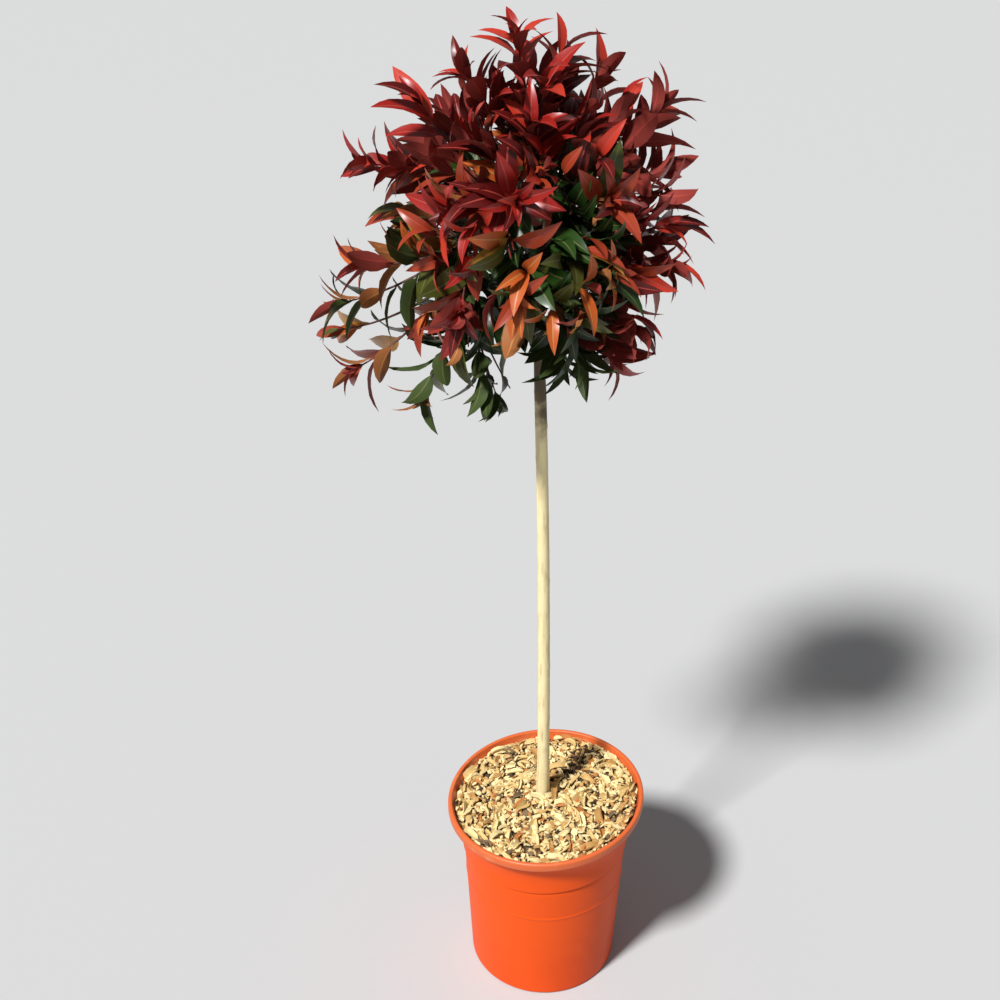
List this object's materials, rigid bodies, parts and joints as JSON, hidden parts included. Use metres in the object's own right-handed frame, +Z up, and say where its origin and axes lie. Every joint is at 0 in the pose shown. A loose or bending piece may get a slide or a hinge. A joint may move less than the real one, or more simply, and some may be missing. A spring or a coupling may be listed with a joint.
{
  "type": "lollipop topiary",
  "caption": "Standard shrub about a metre tall: a bare straight stem under a loose round head of red young leaves over green ones, in a round plastic nursery pot topped with wood chips.",
  "frame": {"origin": "centre of the pot's flat underside, on the floor", "axes": "+Z up along the pot and the stem, -Y towards the viewer's front, +X to the front view's right; the crown reaches furthest towards -X"},
  "size_m": [0.3256, 0.2475, 1.0133],
  "materials": {
    "pot_plastic": "terracotta-orange moulded plastic, satin, faintly scuffed",
    "compost": "dark moist peat-free compost held by roots, matt",
    "wood_chips": "pale tan and orange-brown pine chips, dry and matt",
    "stem_bark": "smooth pale straw-coloured bark, faintly streaked",
    "bough_bark": "dark grey-brown young bark, matt",
    "red_leaves": "glossy young leaves, crimson to bronze",
    "green_leaves": "glossy older leaves, mid to dark green"
  },
  "bodies": {
    "root": {"bough_lower_1": "bough_bark", "bough_lower_2": "bough_bark", "bough_lower_3": "bough_bark", "bough_middle_1": "bough_bark", "bough_middle_2": "bough_bark", "bough_middle_3": "bough_bark", "bough_middle_4": "bough_bark", "bough_middle_5": "bough_bark", "bough_upper_1": "bough_bark", "bough_upper_2": "bough_bark", "bough_upper_3": "bough_bark", "bough_upper_4": "bough_bark", "compost": "compost", "foliage_leader": "red_leaves", "foliage_lower_1": "green_leaves", "foliage_lower_2": "green_leaves", "foliage_lower_3": "green_leaves", "foliage_middle_1": "red_leaves", "foliage_middle_2": "red_leaves", "foliage_middle_3": "red_leaves", "foliage_middle_4": "red_leaves", "foliage_middle_5": "red_leaves", "foliage_upper_1": "red_leaves", "foliage_upper_2": "red_leaves", "foliage_upper_3": "red_leaves", "foliage_upper_4": "red_leaves", "pot": "pot_plastic", "trunk": "stem_bark", "wood_chips": "wood_chips"}
  },
  "joints": []
}
